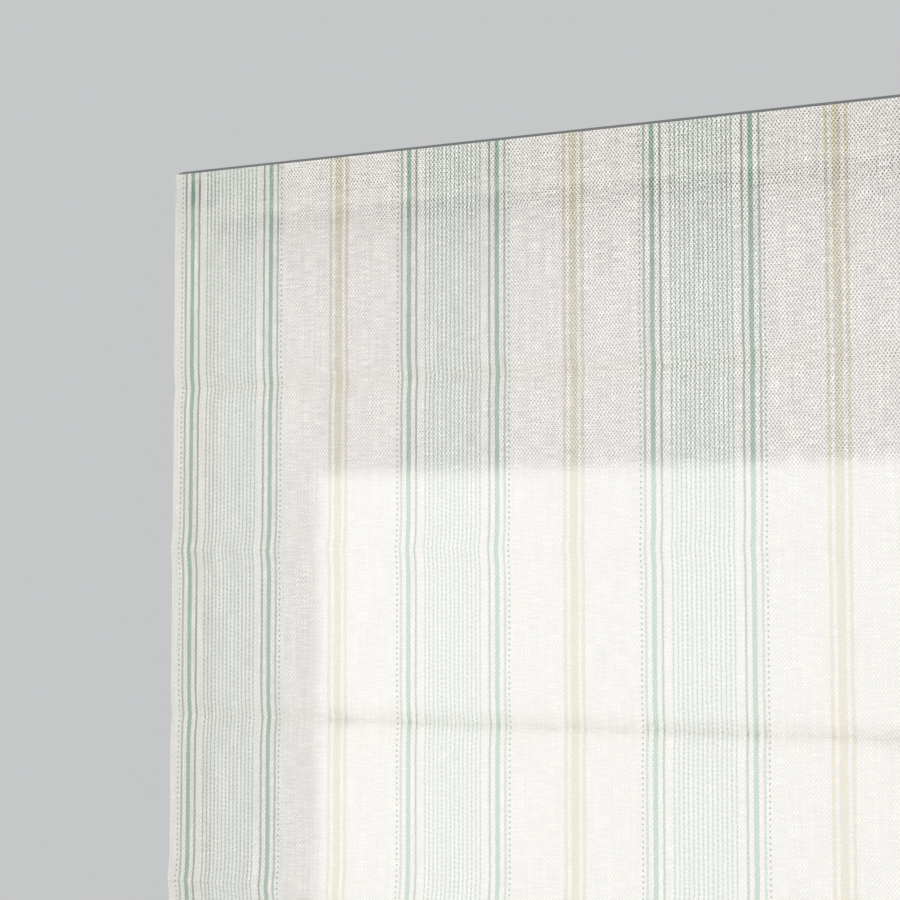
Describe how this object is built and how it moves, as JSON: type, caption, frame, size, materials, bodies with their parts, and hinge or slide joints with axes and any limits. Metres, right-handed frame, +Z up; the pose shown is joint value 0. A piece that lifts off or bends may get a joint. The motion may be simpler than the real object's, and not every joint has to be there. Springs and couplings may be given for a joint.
{
  "type": "roman blind",
  "caption": "Flat roman blind for a wall above a window: striped linen cloth on a head rail, with rods, lift cords and a sprung lift shaft that gathers the cloth from below.",
  "frame": {"origin": "centre of the four wall screws, on the wall face", "axes": "+X across the blind to the right seen from the room, +Y into the wall, +Z up"},
  "size_m": [0.8, 0.0437, 1.304],
  "materials": {
    "linen_cloth": "woven",
    "touch_tape": "hook and loop",
    "pocket_tape": "woven tape",
    "anodised_alloy": "anodised",
    "zinc_steel": "zinc plated",
    "nylon_white": "moulded",
    "nylon_grey": "moulded",
    "glass_fibre": "pultruded",
    "lift_cord": "braided"
  },
  "bodies": {
    "head": {"headrail": "anodised_alloy", "end_cap_left": "nylon_grey", "end_cap_right": "nylon_grey", "bracket_left": "zinc_steel", "bracket_right": "zinc_steel", "hook_tape": "touch_tape", "loop_tape": "touch_tape", "fabric_panel": "linen_cloth", "cradle_left": "nylon_white", "cradle_middle": "nylon_white", "cradle_right": "nylon_white", "motor_case": "nylon_grey", "motor_cover": "nylon_white", "motor_screws": "zinc_steel", "lift_cord_left": "lift_cord", "lift_cord_middle": "lift_cord", "lift_cord_right": "lift_cord"},
    "shaft": {"lift_shaft": "zinc_steel", "spool_left": "nylon_white", "spool_middle": "nylon_white", "spool_right": "nylon_white", "motor_collar": "nylon_white"},
    "rod_row_1": {"rod_1": "glass_fibre", "rod_pocket_1": "pocket_tape", "eyelets_1": "nylon_white"},
    "rod_row_2": {"rod_2": "glass_fibre", "rod_pocket_2": "pocket_tape", "eyelets_2": "nylon_white"},
    "rod_row_3": {"rod_3": "glass_fibre", "rod_pocket_3": "pocket_tape", "eyelets_3": "nylon_white"},
    "rod_row_4": {"rod_4": "glass_fibre", "rod_pocket_4": "pocket_tape", "eyelets_4": "nylon_white"},
    "rod_row_5": {"rod_5": "glass_fibre", "rod_pocket_5": "pocket_tape", "eyelets_5": "nylon_white"},
    "rod_row_6": {"rod_6": "glass_fibre", "rod_pocket_6": "pocket_tape", "eyelets_6": "nylon_white"},
    "rod_row_7": {"rod_7": "glass_fibre", "rod_pocket_7": "pocket_tape", "eyelets_7": "nylon_white"},
    "bar": {"bottom_bar": "anodised_alloy", "bar_cap_left": "nylon_grey", "bar_cap_right": "nylon_grey", "cord_anchors": "nylon_white"}
  },
  "joints": [
    {"name": "bottom_bar_lift", "type": "slide", "parent": "head", "child": "bar", "axis": [0, 0, 1], "range_m": [0, 1.02], "deforming": ["fabric_panel", "lift_cord_left", "lift_cord_middle", "lift_cord_right"]},
    {"name": "rod_1_rise", "type": "slide", "parent": "head", "child": "rod_row_1", "axis": [0, 0, 1], "range_m": [0, 0.0654]},
    {"name": "rod_2_rise", "type": "slide", "parent": "head", "child": "rod_row_2", "axis": [0, 0, 1], "range_m": [0, 0.21614]},
    {"name": "rod_3_rise", "type": "slide", "parent": "head", "child": "rod_row_3", "axis": [0, 0, 1], "range_m": [0, 0.36688]},
    {"name": "rod_4_rise", "type": "slide", "parent": "head", "child": "rod_row_4", "axis": [0, 0, 1], "range_m": [0, 0.51762]},
    {"name": "rod_5_rise", "type": "slide", "parent": "head", "child": "rod_row_5", "axis": [0, 0, 1], "range_m": [0, 0.66836]},
    {"name": "rod_6_rise", "type": "slide", "parent": "head", "child": "rod_row_6", "axis": [0, 0, 1], "range_m": [0, 0.8191]},
    {"name": "rod_7_rise", "type": "slide", "parent": "head", "child": "rod_row_7", "axis": [0, 0, 1], "range_m": [0, 0.96983]},
    {"name": "shaft_wind", "type": "hinge", "parent": "head", "child": "shaft", "pos_m": [0, -0.02, -0.0043], "axis": [-1, 0, 0], "range_deg": [0, 6700]}
  ],
  "couplings": [
    {"joint": "rod_1_rise", "follows": "bottom_bar_lift", "ratio": 0.063629},
    {"joint": "rod_2_rise", "follows": "bottom_bar_lift", "ratio": 0.21141},
    {"joint": "rod_3_rise", "follows": "bottom_bar_lift", "ratio": 0.35919},
    {"joint": "rod_4_rise", "follows": "bottom_bar_lift", "ratio": 0.50698},
    {"joint": "rod_5_rise", "follows": "bottom_bar_lift", "ratio": 0.65476},
    {"joint": "rod_6_rise", "follows": "bottom_bar_lift", "ratio": 0.80254},
    {"joint": "rod_7_rise", "follows": "bottom_bar_lift", "ratio": 0.95033},
    {"joint": "shaft_wind", "follows": "bottom_bar_lift", "rad_per_m": 114.29}
  ]
}
